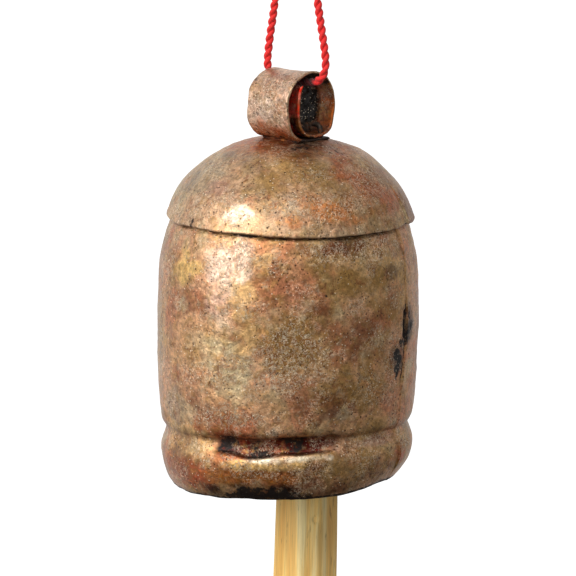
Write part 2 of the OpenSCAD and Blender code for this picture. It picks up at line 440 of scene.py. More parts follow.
# Soot, and painted shade under the lip, and lace for the cream squiggles: the same without a colour
SHELL_SOOT_AND_SHADE = [
    (21, -29, 3.6, 6.5, 0.78),
    (17.5, -35, 4, 3.4, 0.9),
    (13.5, -39, 3.6, 3.2, 1.3),
    (13, -43, 2.2, 3.2, 1.1),
    (-29, -17.4, 3.4, 1.1, 1),
    # painted shade: black on the lip's underside in front
    (-54, -79, 22, 3.6, 1.6),
    (-62, -74, 24, 3, 0.42),
    # painted shade: black on the lip's underside round the back
    (-160, -78.4, 20, 2, 0.8),
    (100, -78.6, 16, 1.8, 0.8),
]
SHELL_LACE = [
    (-42, -37, 20, 12, 1),
    (-62, -42, 16, 8, 0.7),
    (-68, -55, 20, 4, 0.8),
    (0, -5, 16, 5, 0.9),
    (-24, -6, 16, 4, 0.8),
    (-68, -7, 14, 6, 0.7),
    (8, -42, 8, 12, 0.5),
    (-60, -71, 16, 4, 0.8),
    (-5, -64, 18, 2, 0.6),
    (140, -32, 30, 16, 0.8),
    (-150, -42, 20, 12, 0.7),
]


def lap_profile(turn, height):
    """How far the lapped sheet stands out: a crisp step, then a fade as it runs under itself."""
    return height * between(turn, -0.2, 0.35, 10, 42)


def displaced(rows, sides, source, azimuth, outer, dents):
    """Points of a turned sheet, pushed out along each row's side: outer in front, its dents behind."""
    last = source.max()
    front = np.arange(len(rows)) <= last
    shift = np.where(front[:, None], outer[source], 0.96 * dents[source])
    edge = ~front & (source == last)
    shift[edge] = outer[source][edge]
    points = turned(rows, azimuth)
    a = np.radians(azimuth)
    points[..., 0] += shift * sides[:, 0:1] * np.cos(a)
    points[..., 1] += shift * sides[:, 0:1] * np.sin(a)
    points[..., 2] += shift * sides[:, 1:2]
    return points


def make_shell():
    """The rolled shell: hammered, lapped at one side, with a groove and a ledge above its bulged lip."""
    controls = [
        (33.3, rim + 5), (34.4, rim + 1.2), (35.1, rim - 0.9), (36.3, rim - 3.4), (38.3, rim - 12),
        (39.1, rim - 27), (38.8, rim - 44), (37.6, mouth + 21), (36, mouth + 17), (37.5, mouth + 11.6),
        (36.8, mouth + 6.5), (35.1, mouth + 2.3), (33.5, mouth),
    ]  # fmt: skip
    outline = evenly(curve(controls), 210)
    azimuth = around(step=0.9, lap=LAP, fine=0.28)
    rows, sides, source = sheet_rows(outline, SHEET, inner_rows=40)
    outside = turned(outline, azimuth)
    z = outside[..., 2]
    turn = turn_from(azimuth, LAP) + 1.6 * noise(outside * (0, 0, 1), 9, 5)

    # hammer blows, then the groove: deep in front above a ledge, shallow at the sides
    dents = 0.42 * layered(outside, 19, 11, 2) + 0.26 * (blows(outside, 9.5, 21) - 0.3)
    front = turn_from(azimuth, -51)
    ledge = mouth + 14.2 - 1.1 * bump_at(front, -9, 8) + 0.35 * noise(outside * (1, 1, 0), 6, 25)
    front = between(front, -34, -20, 18, 36)
    deep = between(z, ledge - 0.5, ledge + 0.9, ledge + 1.4, ledge + 7.5)
    # painted shade for the groove's wall over the ledge in front, which faces down
    groove_shade = front * between(z, ledge - 0.3, ledge + 0.5, ledge + 3, ledge + 6.5)
    dents = dents - 1.75 * front * deep + 0.5 * front * bump_at(z, mouth + 11.5, 3)
    dents = dents + 0.6 * facing(azimuth, -104, 18) * bump_at(z, mouth + 16.5, 3)
    dents = dents + 0.6 * facing(azimuth, 42, 22) * (1 - smooth(z, mouth + 18, mouth + 45))
    skin = 0.06 * noise(outside, 2.1, 31) + 0.045 * noise(outside, 1.1, 32)

    # the lap: how far it stands proud, where it is open, and a short slot where it gapes
    proud = 0.2 + 0.4 * smooth(noise(outside * (0, 0, 1), 11, 33), -0.4, 0.4)
    proud = proud * (0.15 + 0.85 * smooth(z, mouth + 1, mouth + 9))
    is_open = between(z, rim - 48, rim - 44, rim - 24, rim - 20)
    slit = -0.3 * bump_at(turn, -0.7, 0.7) * smooth(noise(outside * (0, 0, 1), 5, 34), -0.2, 0.4) * is_open
    slot = -1.4 * bump_at(turn, -1.4, 1.2) * between(z, rim - 34, rim - 32.5, rim - 26, rim - 24.5)
    outer = dents + skin + lap_profile(turn, proud) + slit + slot

    # the mouth: a wavy edge, cut a little aslant
    points = displaced(rows, sides, source, azimuth, outer, dents)
    low = smooth(-points[..., 2], -(mouth + 9), -mouth)
    points[..., 2] += low * 0.4 * layered(points * (1, 1, 0), 17, 51, 2)
    # -1 to 1 from the left to the right of the front
    across = (points[..., 0] + points[..., 1]) * 0.707 / 38
    tilt = 1 - smooth(points[..., 2], mouth + 20, mouth + 36)
    rise = 1.4 * smooth(across, 0.35, 0.85) - 1.2 * smooth(-across, 0.6, 0.95)
    points[..., 2] += 1.6 * tilt * across + low * rise

    # paint, and soot and painted shade: painted shadow under the cap's rim, painted shade in the lap's gap,
    # in its slot, on the mouth's lower edge and in the groove, and soot in patches
    tone = paint(base_tone(outside, 501), outside, SHELL_PATCHES, 601)
    rag = layered(outside, 3, 71, 3)
    # painted shade, deep red, in the groove over the ledge
    tone = lay(tone, DEEP_RED, groove_shade * (1.1 + rag))
    # painted shadow under the cap's rim
    gap = rim - 0.8 - 0.6 * facing(azimuth, -42, 30) + 0.4 * rag
    soot = 1.5 * smooth(z, gap - 0.2, gap + 0.2)
    # painted shade in the gap under the lapped edge, and inside the slot where it gapes
    soot = soot + bump_at(turn, -0.8, 0.7) * smooth(rag, 0, 0.5) * (0.3 + 0.7 * is_open)
    soot = soot + 0.9 * bump_at(turn, -1.4, 1.3) * between(z, rim - 34, rim - 32, rim - 26, rim - 24)
    # painted shade on the mouth's lower edge, which faces down
    soot = soot + 1.2 * smooth(-z, -(mouth + 1.2), -mouth)
    torn = 1.5 * layered(outside, 2.6, 701, 3)
    for middle, level, wide, tall, strength in SHELL_SOOT_AND_SHADE:
        ragged = torn / max(1, 2 * strength - 1)
        soot = np.maximum(soot, strength * patch(outside, middle, level, wide, tall, ragged))
    # painted shade, black, in the groove over the ledge
    soot = np.maximum(soot, groove_shade * (0.75 + 1.2 * layered(outside, 4, 72, 3)))
    lace = 0 * z
    for middle, level, wide, tall, strength in SHELL_LACE:
        lace = np.maximum(lace, strength * patch(outside, middle, level, wide, tall, 0.5 * torn))
    tone, soot, lace = tone[source], soot[source], lace[source]
    behind = (np.arange(len(rows)) > len(outline) + 4)[:, None]
    tone = lay(tone, BROWN, 0.7 * behind + 0 * soot)
    faces = grid_faces(len(rows), len(azimuth), wrap_rows=True)
    return make_mesh("shell_sheet", points.reshape(-1, 3), faces, tone, soot=soot, lace=lace)


CAP_PATCHES = [
    (TAN, -112, 13, 34, 10, 0.8),
    (GREY_GREEN, -127, 5.3, 20, 4.3, 0.7),
    (PINK_GREY, -90, 11.5, 8, 2.4, 0.7),
    (PINK_GREY, -82, 7.8, 17, 1.8, 0.4),
    (GREY, -116, 11.2, 10, 3.1, 0.8),
    (GREY, -113, 19, 12, 1.2, 0.8),
    (OLIVE, -45, 15.4, 28, 8, 0.75),
    (OLIVE, -21, 13.8, 17, 5, 0.5),
    (GOLD, -58, 18.5, 14, 2.4, 0.3),
    (ORANGE, -25, 5.8, 23, 4.3, 0.85),
    (ORANGE, -34, 10.2, 9, 2.4, 0.5),
    (RUST, -1, 17.3, 18, 4.3, 0.8),
    (RUST, 3, 12.7, 12, 3.7, 0.8),
    (RED, 17, 7.7, 11, 4.3, 0.45),
    (BROWN, 40, 10, 15, 9, 0.5),
    (BURNT, 4, 11, 20, 7, 0.35),
    (BROWN, 23, 14.1, 16, 3.7, 0.6),
    (GREY_GREEN, 27, 2, 6, 3, 0.9),
    # painted highlight: pink where the key light's highlight falls on the dome
    (PINK, -71, 5.3, 9, 2.6, 0.9),
    (RUST, 140, 12, 30, 6, 0.6),
    (OLIVE, 90, 8, 25, 6, 0.7),
]


def make_cap():
    """The domed cap with its lapped edge and a wavy hem."""
    controls = [
        (6, cap_top), (12.5, cap_top - 0.9), (21.1, cap_top - 4.05), (29.1, cap_top - 9.9),
        (33.7, rim + 7.85), (36.9, rim),
    ]  # fmt: skip
    outline = evenly(curve(controls), 110)
    azimuth = around(step=0.9, lap=CAP_LAP, fine=0.28)
    rows, sides, source = sheet_rows(outline, SHEET, inner_rows=26)
    outside = turned(outline, azimuth)
    z = outside[..., 2]
    turn = turn_from(azimuth, CAP_LAP) + 1.2 * noise(outside * (0, 0, 1), 7, 6)
    radius = np.hypot(outside[..., 0], outside[..., 1])
    foot = 1 - smooth(radius, 9, 15)

    dents = (0.3 * layered(outside, 17, 111, 2) + 0.3 * (blows(outside, 10.5, 121) - 0.3)) * (1 - foot)
    skin = (0.06 * noise(outside, 2, 131) + 0.045 * noise(outside, 1.1, 132)) * (1 - foot)
    dents = dents + 0.8 * facing(azimuth, 45, 45) * bump_at(z, cap_top - 4, 6.5)
    dents = dents - 0.5 * facing(azimuth, -128, 30) * bump_at(z, rim + 10, 6)
    low = 1 - smooth(z, rim + 3, rim + 13)
    slit = -0.35 * bump_at(turn, -0.7, 0.7) * low
    outer = dents + skin + lap_profile(turn, 0.55) * low + slit

    points = displaced(rows, sides, source, azimuth, outer, dents)
    hem = smooth(-points[..., 2], -(rim + 6), -rim)
    a = np.radians(azimuth)
    ring = np.stack([np.cos(a), np.sin(a), 0 * a], -1)
    wave = 0.3 * layered(ring * 36, 14, 151, 2) + 0.12 * layered(ring * 36, 2.4, 152, 2)
    past = turn_from(azimuth, CAP_LAP)
    wave = wave + 0.6 * bump_at(past, -1.5, 2.2) - 0.5 * bump_at(past, 9, 7)
    points[..., 2] += hem * wave

    tone = lay(base_tone(outside, 801), TAN, 0.45 + 0 * z)
    tone = paint(tone, outside, CAP_PATCHES, 901)
    near_barrel = 1 - smooth(radius + 2.5 * layered(outside, 5, 161, 3), 12, 21)
    tone = lay(tone, BURNT, near_barrel)
    right = smooth(outside[..., 0] + 2 * layered(outside, 5, 163, 3), -1, 7)
    tone = lay(tone, BROWN, near_barrel * right)
    lapped = between(turn, 0, 0.5, 12, 22) * low
    tone = lay(tone, BROWN, 0.8 * lapped)
    speckled = smooth(layered(outside, 2.6, 167, 3), 0.25, 0.6)
    soot = speckled * (0.7 * near_barrel * right + 0.45 * patch(outside, 5, 17, 30, 5, 0))
    # painted shade along the gap under the lapped edge, and soot specks on the left
    soot = soot + 0.9 * bump_at(turn, -0.8, 0.6) * low + 0.5 * speckled * patch(outside, -116, 15, 12, 6, 0)
    soot = soot + 0.9 * facing(azimuth, -97, 1.2) * (1 - smooth(z, rim + 1.5, rim + 3))
    lace = 0.6 * patch(outside, -30, 8, 34, 5, 0) + 0.5 * patch(outside, 8, 13, 20, 5, 0)
    tone, soot, lace = tone[source], soot[source], lace[source]
    behind = (np.arange(len(rows)) > len(outline) + 1)[:, None] + 0 * soot
    tone, soot = lay(tone, BROWN, behind), np.maximum(soot, 0.6 * behind)

    count = len(azimuth)
    flat = points.reshape(-1, 3)
    top, under = len(flat), len(flat) + 1
    flat = np.vstack([flat, [0, 0, cap_top], [0, 0, cap_top - SHEET]])
    faces = grid_faces(len(rows), count)
    faces += fan(top, 0, count) + fan(under, (len(rows) - 1) * count, count, flip=True)
    tone = np.vstack([tone.reshape(-1, 3), tone[0, :1], tone[-1, :1]])
    soot, lace = (np.concatenate([v.ravel(), v[0, :1], v[-1, :1]]) for v in (soot, lace))
    return make_mesh("cap_sheet", flat, faces, tone, soot=soot, lace=lace)


# ---------------------------------------------------------------- strap

strap_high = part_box("hanging_strap")[1] / MM
barrel_z = strap_high.z - 10.6
barrel_half = strap_high.x

# Middle of the strap as (y, z) from the barrel's middle: its lip on the cap, round the barrel and on inside
STRAP_PATH = [
    (8.1, -10.2), (5, -10.15), (2, -10.1), (-1.4, -10.1), (-5, -9.5), (-7.8, -7.4), (-9.5, -4.1),
    (-9.95, 0), (-9.4, 4.1), (-7.3, 7.3), (-3.9, 9.25), (0, 10.1), (3.9, 9.3), (7.1, 7.15),
    (9.25, 4), (10.05, 0), (9.4, -3.8), (8.3, -7.1), (5.6, -8.8), (2.2, -9.05), (-0.5, -8.8),
    (-2.7, -7.6), (-4.2, -5.4), (-4.95, -2.6), (-5.2, 0.6), (-5.1, 3), (-4.6, 5.4), (-3.9, 6.6),
]  # fmt: skip
# Rows of the strap's mesh, and those where its foot ends, its end turns in and its inner flap starts
STRAP_ROWS = 300
FOOT_END = (34, 48)
TURNED_IN = 140
FLAP_START = (218, 236)


def make_strap():
    """One strap rolled up: each row is a ring across it, round both of its long edges."""
    path = evenly(curve(STRAP_PATH, 12), STRAP_ROWS)
    along = np.gradient(path, axis=0)
    along /= np.linalg.norm(along, axis=1, keepdims=True)
    side = np.stack([-along[:, 1], along[:, 0]], -1)[:, None]
    half = SHEET / 2
    x = np.linspace(-barrel_half + half, barrel_half - half, 40)
    bend = np.radians(np.arange(15, 180, 15))
    across = np.concatenate([x, x[-1] + half * np.sin(bend), x[::-1], x[0] - half * np.sin(bend)])
    lift = np.concatenate([0 * x + half, half * np.cos(bend), 0 * x - half, -half * np.cos(bend)])
    row = np.arange(STRAP_ROWS)
    taper = np.sqrt(np.clip(1 - (1 - np.minimum(row, row[::-1]) / 2.5) ** 2, 0.15, 1))
    taper[3:-3] = 1
    core = np.zeros((STRAP_ROWS, len(across), 3))
    core[..., 0] = across
    core[..., 1:] = path[:, None]
    place = core.copy()
    place[..., 1:] += (lift * taper[:, None])[..., None] * side

    # where each row is: the flat foot, the barrel, and the inner flap that ends it
    row = row[:, None]
    inner = smooth(row, *FLAP_START)
    flat = 1 - smooth(row, *FOOT_END)
    outer_face = np.concatenate([np.ones(len(x)), np.cos(bend) > 0, np.zeros(len(x)), np.cos(bend) < 0])
    dents = 0.22 * layered(core, 8, 211, 2) + 0.16 * (blows(core, 6, 221) - 0.3)
    skin = (0.06 * noise(core, 1.8, 231) + 0.045 * noise(core, 0.9, 232)) * outer_face
    push = (dents * (1 - 0.6 * inner) + skin) * (1 - flat)
    place[..., 1:] += push[..., None] * side
    ends = smooth(np.abs(across), barrel_half - 3, barrel_half) * np.sign(across)
    flank = core * (0, 1, 1)
    place[..., 0] += ends * (0.28 * layered(flank + 50, 5, 241, 2) + 0.1 * noise(flank, 1.5, 242))
    up = np.clip(path[:, 1] / 10, 0, 1)[:, None] * (1 - inner)
    place[..., 2] += up * (-0.2 + 0.062 * across - 0.35 * (1 - (across / barrel_half) ** 2))

    # slag in lumps on the inside of the barrel's wall
    wall = smooth(path[:, :1], 2, 5) * (row > TURNED_IN) * (1 - outer_face)
    slag = wall * (1 - smooth(across + 1.2 * noise(core, 4, 251), 0.5, 2.6)) * smooth(path[:, 1:], -8.5, -5)
    lumps = slag * (0.55 + 0.9 * np.abs(layered(core, 2.2, 252, 3)))
    place[..., 1:] -= (lumps * 0.9)[..., None] * side
    place[..., 2] += barrel_z

    tone = lay(base_tone(place + 40, 1001), PINK_GREY, 0.6 + 0.3 * layered(core, 6, 261, 3))
    tone = lay(tone, PINK, 0.5 + 0.6 * layered(core, 5, 262, 3))
    height = place[..., 2] - barrel_z + 1.4 * layered(core, 4, 263, 3)
    tone = lay(tone, BURNT, 1 - smooth(height, -8, -3.6))
    # painted shade: brown on the foot and the barrel's very bottom, under the barrel
    tone = lay(tone, BROWN, 0.8 * (1 - smooth(height, -10.6, -8.4)))
    # painted highlight: pale tan along both edges of the barrel, above its foot
    tone = lay(tone, TAN, bump_at(np.abs(across), barrel_half, 0.35) * (1 - inner) * smooth(height, -9, -5))
    # the inside face: burnt and brown, with painted shade, deep red, on its far side and low down
    inside_face = (1 - outer_face) * (1 - flat) + 0 * height
    far_inside_shade = 1 - smooth(across, 1, 5)
    tone = lay(tone, BURNT, inside_face)
    tone = lay(tone, BROWN, inside_face * smooth(layered(core, 2.5, 264, 3), -0.1, 0.4))
    tone = lay(tone, DEEP_RED, inside_face * far_inside_shade + 0.4 * inside_face * smooth(-height, 3, 8))
    flap = inner * outer_face
    # bright red on the inner flap: the patina's red, with a painted reflection of the red cord
    tone = lay(tone, BLOOD, flap * (0.8 + 0.5 * layered(core, 3, 266, 3)))
    tone = lay(tone, DEEP_RED, flap * smooth(layered(core, 4, 267, 3), 0.3, 0.8))
    tone = lay(tone, ORANGE, flap * 0.9 * bump_at(across, 8, 0.9) * smooth(-height, 2, 5))
    outer_wall = outer_face * (1 - inner)
    scorched = smooth(layered(core, 2, 269, 3), 0.1, 0.6) * (1 - smooth(height, -8, -4)) * outer_face
    soot = slag * 1.5
    # soot and painted shade: slag, painted shade on the far inside and under the barrel's top, soot specks
    # and scorch outside, and painted shade on the foot
    for more in (
        0.6 * inside_face * far_inside_shade,
        inside_face * smooth(place[..., 2] - barrel_z, 4, 8),
        0.5 * smooth(layered(core, 2.4, 265, 3), 0.3, 0.7) * outer_wall,
        0.9 * scorched,
        # painted shade, black, on the foot under the barrel
        1.3 * flat * smooth(row, 0, 4),
    ):
        soot = np.maximum(soot, more)
    lace = np.maximum(slag, 0.5 * outer_wall * smooth(layered(core, 4, 268, 3), -0.2, 0.4))
    faces = grid_faces(STRAP_ROWS, len(across)) + ring_ends(STRAP_ROWS, len(across))
    return make_mesh("strap_barrel", place.reshape(-1, 3), faces, tone, soot=soot, lace=lace)


def make_fillets():
    """The two lumpy beads of filler metal along the foot of the barrel."""
    points, faces = [], []
    half = 7.6
    x = np.linspace(-half, half, 64)
    for y, lift, thick in ((-4.2, 0.1, 0.6), (8.9, -0.35, 0.8)):
        path = np.stack([x, np.full_like(x, y), np.full_like(x, cap_top + lift)], -1)
        path[:, 1] += 0.3 * noise(path, 3, 301)
        path[:, 2] -= 0.012 * x**2 * (y > 0)
        swell = thick * (1 + 0.25 * layered(path, 3.5, 311, 2))
        taper = np.sqrt(np.clip(1 - (np.abs(x) / (half + 0.15)) ** 6, 0.02, 1))
        start = sum(len(p) for p in points)
        ring, more, _, _ = tube_mesh(path, swell * taper, 20, 0 * x, start)
        points.append(ring + 0.12 * noise(ring, 1.6, 321)[:, None])
        faces += more
    return make_mesh("strap_fillets", np.vstack(points), faces)


# ---------------------------------------------------------------- clapper

# Whittled faces of the clapper: azimuth, distance as a share of the radius, and lean in degrees per mm
CLAPPER_CUTS = [
    (-80, 0.93, 0.05), (-36, 0.985, 0.02), (2, 0.93, -0.04), (46, 0.97, 0.05), (86, 0.935, -0.03),
    (128, 0.975, 0.04), (170, 0.93, 0), (-148, 0.96, 0.05), (-116, 0.99, -0.04),
]  # fmt: skip


def make_clapper():
    """A whittled stick: long flat cuts that start and stop, with slightly rounded edges."""
    low, high = (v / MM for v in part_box("clapper"))
    cx, cy = (low.x + high.x) / 2, (low.y + high.y) / 2
    top, foot = high.z, low.z
    controls = [
        (0.4, top), (5.8, top - 0.1), (7.0, top - 1.2), (7.4, top - 4), (7.6, top - 14), (9.3, mouth),
        (9.8, foot + 10), (9.6, foot + 3), (8.2, foot + 0.3), (0.4, foot),
    ]  # fmt: skip
    outline = evenly(curve(controls), 190)
    azimuth = np.arange(0, 360, 2.5)
    z = outline[:, 1:]
    limit = np.full((len(z), len(azimuth)), 1.02)
    for az, flat, lean in CLAPPER_CUTS:
        wander = 5 * noise(np.stack([z, 0 * z + az, 0 * z], -1), 30, 401)
        depth = flat + 0.02 * noise(np.stack([z, 0 * z - az, 0 * z], -1), 24, 402)
        off = turn_from(azimuth, az + wander + lean * (z - foot - 26))
        face = depth / np.clip(np.cos(np.radians(off)), 0.25, 1)
        limit = np.minimum(limit, np.where(np.abs(off) < 75, face, 9))
    points = turned(outline, azimuth)
    body = smooth(outline[:, :1], 4, 7)
    scale = 1 + (limit - 1) * body
    points[..., :2] *= scale[..., None]
    grain = 0.05 * noise(points * (1, 1, 0.06), 1.1, 411) + 0.08 * noise(points * (1, 1, 0.15), 3, 412)
    nick = -0.7 * facing(azimuth, -28, 7) * bump_at(z, foot + 36.4, 0.9)
    radial = np.stack([np.cos(np.radians(azimuth)), np.sin(np.radians(azimuth))], -1)
    points[..., :2] += ((grain + nick) * body)[..., None] * radial
    points += (cx, cy, 0)
    count = len(azimuth)
    flat_points = np.vstack([points.reshape(-1, 3), [cx, cy, top], [cx, cy, foot]])
    faces = grid_faces(len(outline), count)
    end = len(outline) * count
    faces += fan(end, 0, count) + fan(end + 1, end - count, count, flip=True)
    return make_mesh("clapper_stick", flat_points, faces)


# ---------------------------------------------------------------- cord

# The cord's width, the length of one turn of a ply (mm), and its middle line (m)
CORD_D = 2.5
PLY_TURN = 5.2
CORD_ROUTE = [
    (0.0015, 0, 0.003), (0.0016, 0, 0), (0.0026, 0, -0.005), (0.0036, 0, -0.01), (0.0046, 0, -0.015),
    (0.0056, 0, -0.02), (0.0066, 0, -0.025), (0.0076, 0, -0.03), (0.0086, 0, -0.035),
    (0.0096, 0, -0.04), (0.0107, 0, -0.045), (0.0119, 0, -0.05), (0.0131, 0, -0.055),
    (0.0139, 0, -0.059), (0.014, 0, -0.0612), (0.0136, 0, -0.0632), (0.0126, 0, -0.0649),
    (0.011, 0, -0.0662), (0.009, 0, -0.0669), (0.006, 0, -0.0671), (0.003, 0, -0.0673), (0, 0, -0.0677),
    (-0.003, 0, -0.0682), (-0.0056, 0, -0.0683), (-0.008, 0, -0.0676), (-0.0097, 0, -0.0659),
    (-0.0104, 0, -0.0637), (-0.0104, 0, -0.0612), (-0.0096, 0, -0.055), (-0.0087, 0, -0.05),
    (-0.0079, 0, -0.045), (-0.0072, 0, -0.04), (-0.0065, 0, -0.035), (-0.0058, 0, -0.03),
    (-0.0051, 0, -0.025), (-0.0044, 0, -0.02), (-0.0037, 0, -0.015), (-0.003, 0, -0.01),
    (-0.0023, 0, -0.005), (-0.0015, 0, 0), (-0.0015, 0, 0.003),
]  # fmt: skip


def two_ply(path, seed, end_taper=0.0):
    """Points and faces of two plies twisted round a path in mm."""
    path = evenly(curve(path, 8), int(travelled(path)[-1] / 0.33))
    _, _, across, up = tube_mesh(path, np.ones(len(path)), 3, np.zeros(len(path)))
    travel = travelled(path)
    wander = noise(travel[:, None] * (1, 0, 0), 9, seed)
    twist = 2 * np.pi * travel / PLY_TURN + 0.5 * wander
    points, faces = [], []
    for ply in (0, np.pi):
        off = np.cos(twist + ply)[:, None] * across + np.sin(twist + ply)[:, None] * up
        spread = 0.21 * CORD_D * (1 + 0.07 * noise(path, 3, seed + 1))
        radius = 0.29 * CORD_D * (1 + 0.06 * noise(path + 9, 2, seed + 2))
        if end_taper:
            rest = (travel[-1] - travel) / end_taper
            spread = spread * (1 + 0.5 * np.exp(-rest * 2))
            radius = radius * np.sqrt(np.clip(1 - np.exp(-rest * 8), 0.05, 1))
        start = sum(len(p) for p in points)
        ring, more, _, _ = tube_mesh(path + spread[:, None] * off, radius, 12, 0 * travel, start)
        points.append(ring)
        faces += more
    return np.vstack(points), faces


def make_cord():
    """The cord on its route, darkened with painted shade where it lies in the barrel."""
    points, faces = two_ply([(x / MM, y / MM, z / MM) for x, y, z in CORD_ROUTE], 501)
    # painted shade where the cord runs inside the barrel
    inside = (1 - smooth(np.abs(points[:, 0]), 9, 11.5)) * (1 - smooth(points[:, 2], -65.6, -64))
    return make_mesh("cord_twisted", points, faces, grime=inside)


def make_knot():
    """An overhand knot tied in both ends together, with their two short tails."""
    centre = np.array([0, 0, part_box("cord_knot")[0].z / MM + 4.5])
    path = np.array(
        [
            (1.5, 0, -4.6), (3.2, -1.6, -1.6), (1.9, -3.4, 0.9), (-1.2, -3.5, 1.6), (-3.5, -1.2, 0.8),
            (-3.5, 1.4, -0.6), (-1.4, 3.4, -1.5), (1.4, 3.4, -1.2), (2.7, 1.6, 0.6), (1.9, 0.4, 2.6),
            (3.2, 0, 4.4), (5.6, 0, 7.2), (8.0, 0, 10.2),
        ]
    )  # fmt: skip
    points, faces = [], []
    for turn in (1, -1):
        more_points, more = two_ply(0.86 * path * (turn, turn, 1) + centre, 511 + turn, end_taper=1.2)
        start = sum(len(p) for p in points)
        points.append(more_points)
        faces += [tuple(i + start for i in face) for face in more]
    return make_mesh("knot_twisted", np.vstack(points), faces)


# ---------------------------------------------------------------- materials


class Nodes:
    """Short ways to add nodes to a tree."""

    def __init__(self, tree):
        self.tree = tree

    def add(self, kind, inputs=None, **settings):
        """A node with its settings, and with its inputs linked or given values."""
        node = self.tree.nodes.new(kind)
        for key, value in settings.items():
            setattr(node, key, value)
        for key, value in (inputs or {}).items():
            self.put(node.inputs[key], value)
        return node

    def put(self, socket, value):
        if isinstance(value, bpy.types.NodeSocket):
            self.tree.links.new(value, socket)
        else:
            socket.default_value = value


class Look(Nodes):
    """A material, and the patterns and sums that its looks are made of."""

    def __init__(self, name):
        self.material = bpy.data.materials.new(name)
        self.material.use_nodes = True
        super().__init__(self.material.node_tree)
        self.shader = self.tree.nodes["Principled BSDF"]
        self.place = self.add("ShaderNodeTexCoord").outputs["Object"]

    def shifted(self, seed, stretch=(1, 1, 1)):
        """The place on the object, moved to a part of the pattern of its own."""
        shift = {"Vector": self.place, "Location": (seed, seed * 0.7, seed * 1.3), "Scale": stretch}
        return self.add("ShaderNodeMapping", shift).outputs["Vector"]

    def noise(self, size, detail=4, rough=0.55, bend=0.0, stretch=(1, 1, 1), seed=0.0):
        """Noise with features about size mm wide."""
        inputs = {"Vector": self.shifted(seed, stretch), "Scale": 1 / (size * MM)}
        inputs.update(Detail=detail, Roughness=rough, Distortion=bend)
        return self.add("ShaderNodeTexNoise", inputs).outputs["Fac"]

    def cells(self, size, seed):
        """Distance to the nearest of points about size mm apart."""
        inputs = {"Vector": self.shifted(seed), "Scale": 1 / (size * MM)}
        return self.add("ShaderNodeTexVoronoi", inputs).outputs["Distance"]

    def value(self, name):
        return self.add("ShaderNodeAttribute", attribute_name=name).outputs["Fac"]

    def ramp(self, factor, *stops):
        """Colours or numbers at places along a factor."""
        node = self.add("ShaderNodeValToRGB", {"Fac": factor})
        marks = node.color_ramp.elements
        while len(marks) < len(stops):
            marks.new(0.5)
        for mark, (at, colour) in zip(marks, stops):
            mark.position = at
            mark.color = colour if isinstance(colour, tuple) else (colour, colour, colour, 1)
        return node.outputs["Color"]

    def mix(self, factor, a, b, blend="MIX"):
        inputs = {"Factor": factor, 6: a, 7: b}
        return self.add("ShaderNodeMix", inputs, data_type="RGBA", blend_type=blend).outputs[2]

    def math(self, kind, a, b=0.0, clamp=False):
        return self.add("ShaderNodeMath", {0: a, 1: b}, operation=kind, use_clamp=clamp).outputs[0]

    def times(self, a, b):
        return self.math("MULTIPLY", a, b)

    def bump(self, height, depth, *normal):
        """Bump whose heights of 0 to 1 stand for depth mm, over another bump's normal if there is one."""
        inputs = {"Height": height, "Distance": depth * MM, "Strength": 1}
        inputs.update(("Normal", n) for n in normal)
        return self.add("ShaderNodeBump", inputs).outputs["Normal"]

    def set(self, **values):
        for key, value in values.items():
            self.put(self.shader.inputs[key.replace("_", " ")], value)


